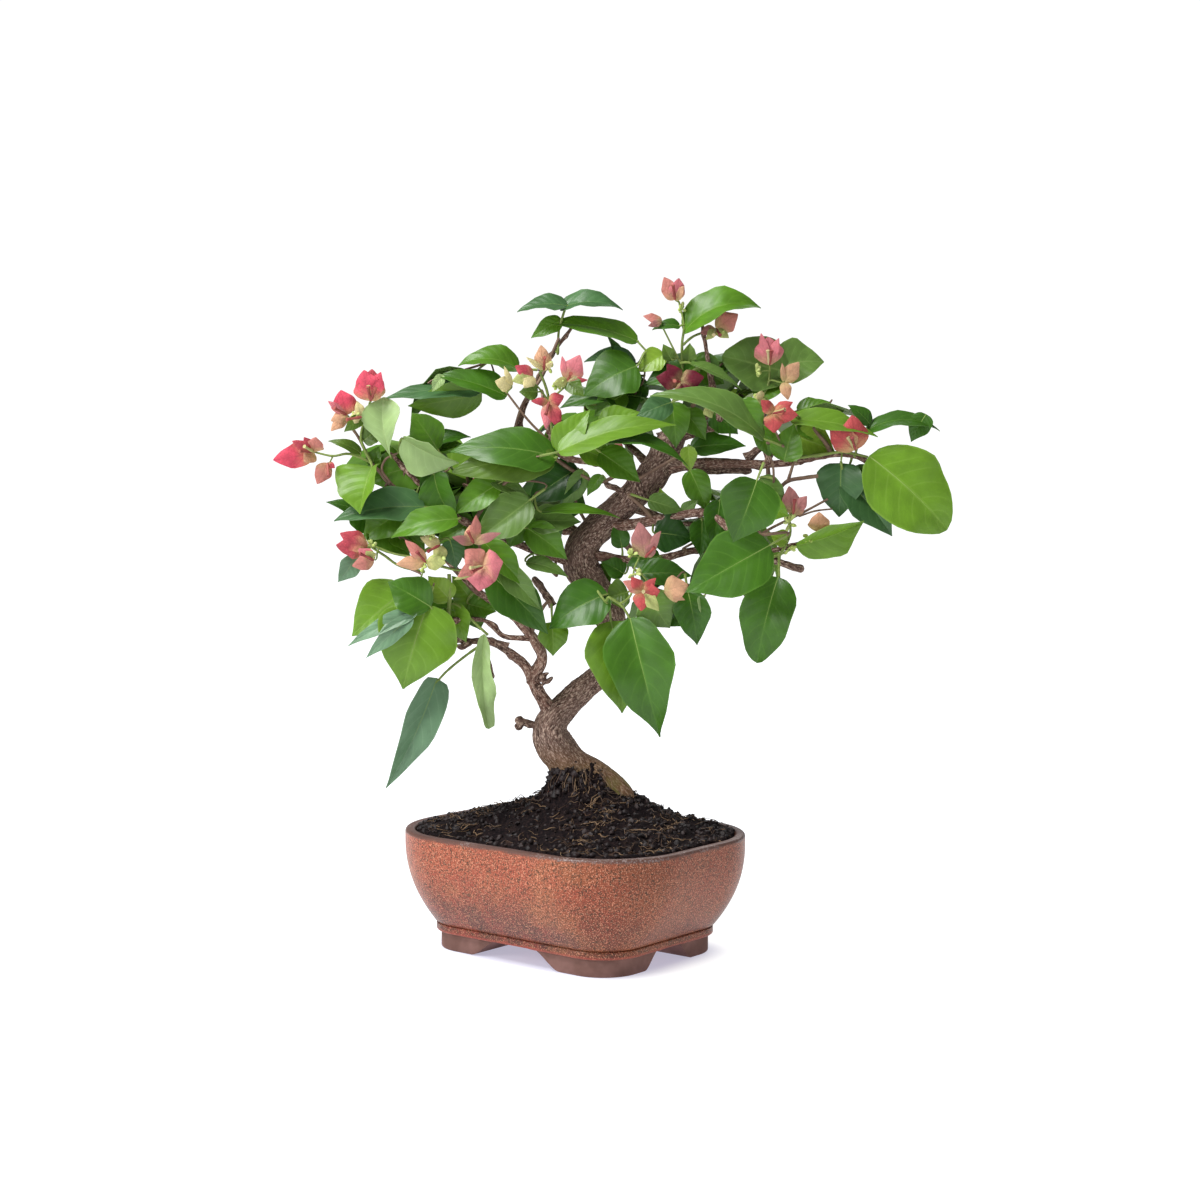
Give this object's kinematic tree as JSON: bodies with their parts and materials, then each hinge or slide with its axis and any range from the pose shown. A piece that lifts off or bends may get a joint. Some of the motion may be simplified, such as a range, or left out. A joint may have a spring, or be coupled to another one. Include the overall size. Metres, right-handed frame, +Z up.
{
  "type": "bougainvillea bonsai",
  "caption": "Bougainvillea grown as a bonsai: winding trunk, open crown of broad leaves with pink and peach bracts, in a glazed pot with rounded corners and bracket feet.",
  "frame": {"origin": "centre of the whole part's box, on the plane that the pot's feet stand on", "axes": "+X along the pot's long side, +Y towards its back long side, +Z up the tree"},
  "size_m": [0.2966, 0.2586, 0.384],
  "materials": {
    "pot_glaze": "satin",
    "soil": "matte",
    "bark": "matte",
    "leaf": "matte"
  },
  "bodies": {
    "root": {"pot": "pot_glaze", "soil": "soil", "trunk": "bark", "bough_left_low": "bark", "bough_left_fork": "bark", "bough_left_twig": "bark", "bough_left_mid": "bark", "bough_left_high": "bark", "bough_top_left": "bark", "bough_top": "bark", "bough_right_high": "bark", "bough_right_shoot": "bark", "bough_right_mid": "bark", "bough_right_low": "bark", "bough_back_left": "bark", "bough_back_mid": "bark", "bough_back_centre": "bark", "bough_back_right": "bark", "bough_back_high": "bark", "bough_back_low": "bark", "foliage_left_high": "leaf", "foliage_left_mid": "leaf", "foliage_left_low": "leaf", "foliage_left_hanging": "leaf", "foliage_left_curl": "leaf", "foliage_centre_high": "leaf", "foliage_centre": "leaf", "foliage_centre_low": "leaf", "foliage_front_high": "leaf", "foliage_front_low": "leaf", "foliage_front_left": "leaf", "foliage_top_left": "leaf", "foliage_high_left": "leaf", "foliage_bloom_spray": "leaf", "foliage_high_centre": "leaf", "foliage_centre_right": "leaf", "foliage_crown_top": "leaf", "foliage_top_right": "leaf", "foliage_high_right": "leaf", "foliage_right_high": "leaf", "foliage_far_right_high": "leaf", "foliage_far_right": "leaf", "foliage_far_right_back": "leaf", "foliage_right_mid": "leaf", "foliage_right_hanging": "leaf", "foliage_right_spray": "leaf", "foliage_mid_right": "leaf", "foliage_back_left": "leaf", "foliage_back_mid": "leaf", "foliage_back_centre": "leaf", "foliage_back_right": "leaf", "foliage_back_high": "leaf", "foliage_back_low": "leaf"}
  },
  "joints": []
}
